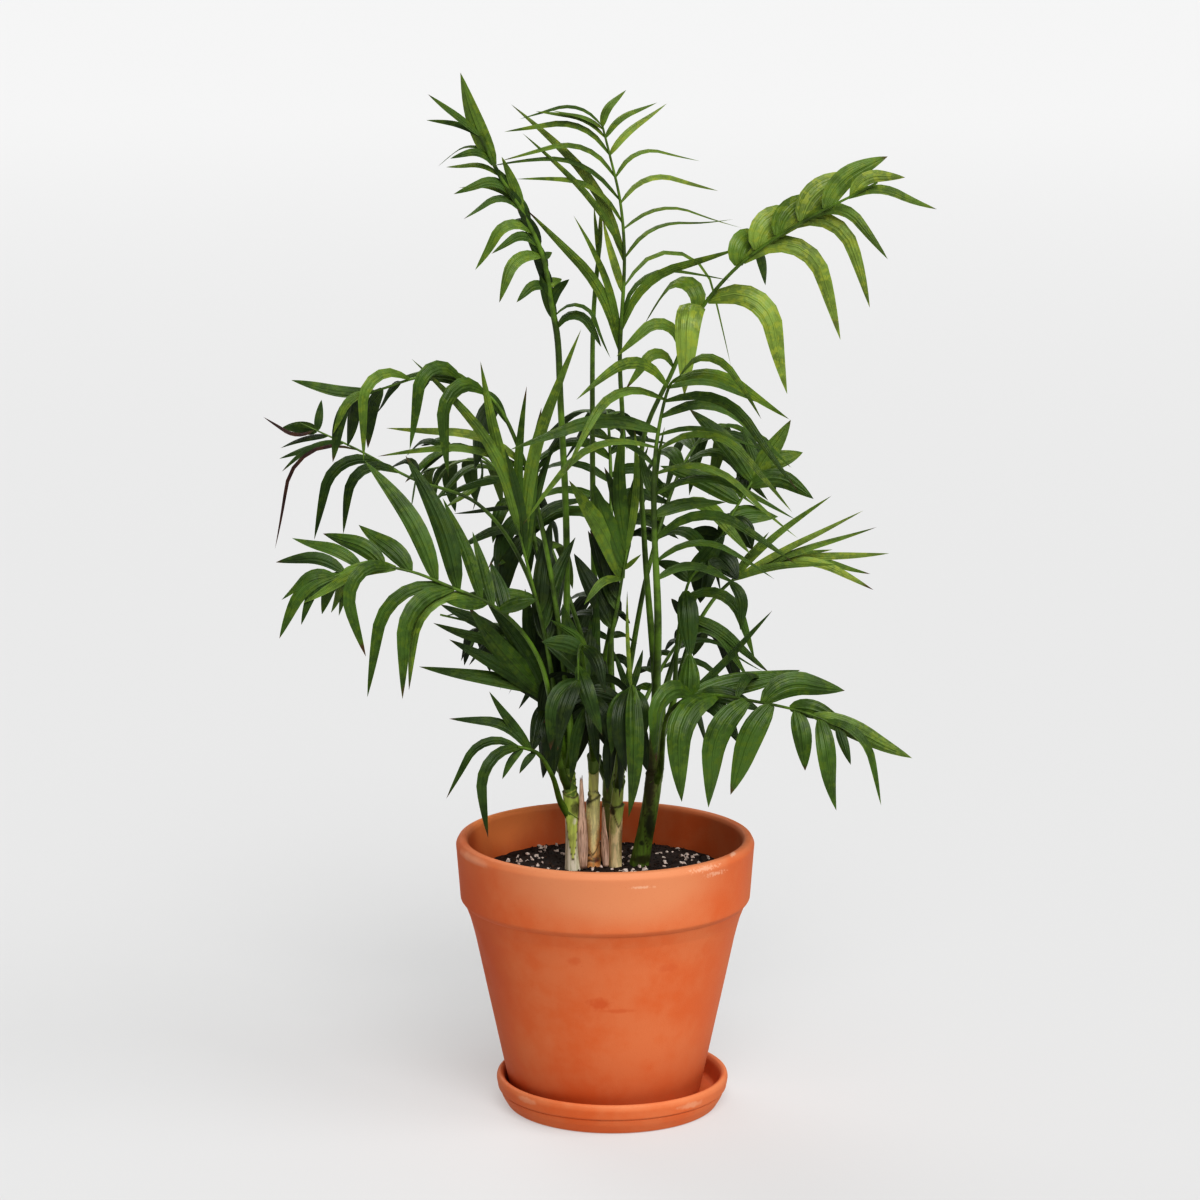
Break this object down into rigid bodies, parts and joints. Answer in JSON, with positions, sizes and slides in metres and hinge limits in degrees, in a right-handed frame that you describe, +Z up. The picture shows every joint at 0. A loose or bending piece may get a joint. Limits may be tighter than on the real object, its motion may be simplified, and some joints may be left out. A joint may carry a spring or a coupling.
{
  "type": "potted parlour palm",
  "caption": "Parlour palm with arching feather-shaped fronds on slender canes, in a terracotta pot that stands on its saucer.",
  "frame": {"origin": "on the saucer's flat underside, below the pot's axis, at the level of the ground that it stands on", "axes": "+Z up the canes; the palm's front faces -Y and +X is to the right seen from the front"},
  "size_m": [0.4447, 0.3854, 0.7273],
  "materials": {
    "terracotta": "matte unglazed clay",
    "potting_soil": "loose dark potting mix with pale grains",
    "cane": "satin green cane with ring scars",
    "dry_sheath": "dry papery sheath",
    "leaf_dark": "satin deep green leaf",
    "leaf_mid": "satin green leaf",
    "leaf_bright": "satin yellow-green young leaf"
  },
  "bodies": {
    "root": {"saucer": "terracotta", "pot": "terracotta", "soil": "potting_soil", "cane_left": "cane", "cane_middle": "cane", "cane_right": "cane", "cane_dark": "cane", "cane_back": "cane", "dry_sheath_left": "dry_sheath", "dry_sheath_right": "dry_sheath", "frond_top_left": "leaf_dark", "frond_top_centre": "leaf_mid", "frond_spear": "leaf_dark", "frond_top_right": "leaf_bright", "frond_arching_left": "leaf_dark", "frond_far_left": "leaf_dark", "frond_low_left": "leaf_mid", "frond_dark_left": "leaf_dark", "frond_small_left": "leaf_mid", "frond_upright": "leaf_bright", "frond_mid_left": "leaf_dark", "frond_centre_right": "leaf_mid", "frond_behind_right": "leaf_dark", "frond_fan_right": "leaf_bright", "frond_hanging_right": "leaf_dark", "frond_low_right": "leaf_mid", "frond_low_front": "leaf_dark", "frond_inner": "leaf_mid", "frond_dark_front": "leaf_dark", "frond_back_left": "leaf_mid", "frond_back_right": "leaf_mid", "frond_back_centre": "leaf_mid", "frond_back_low_left": "leaf_dark", "frond_back_low_right": "leaf_dark", "frond_back_low": "leaf_dark"}
  },
  "joints": []
}
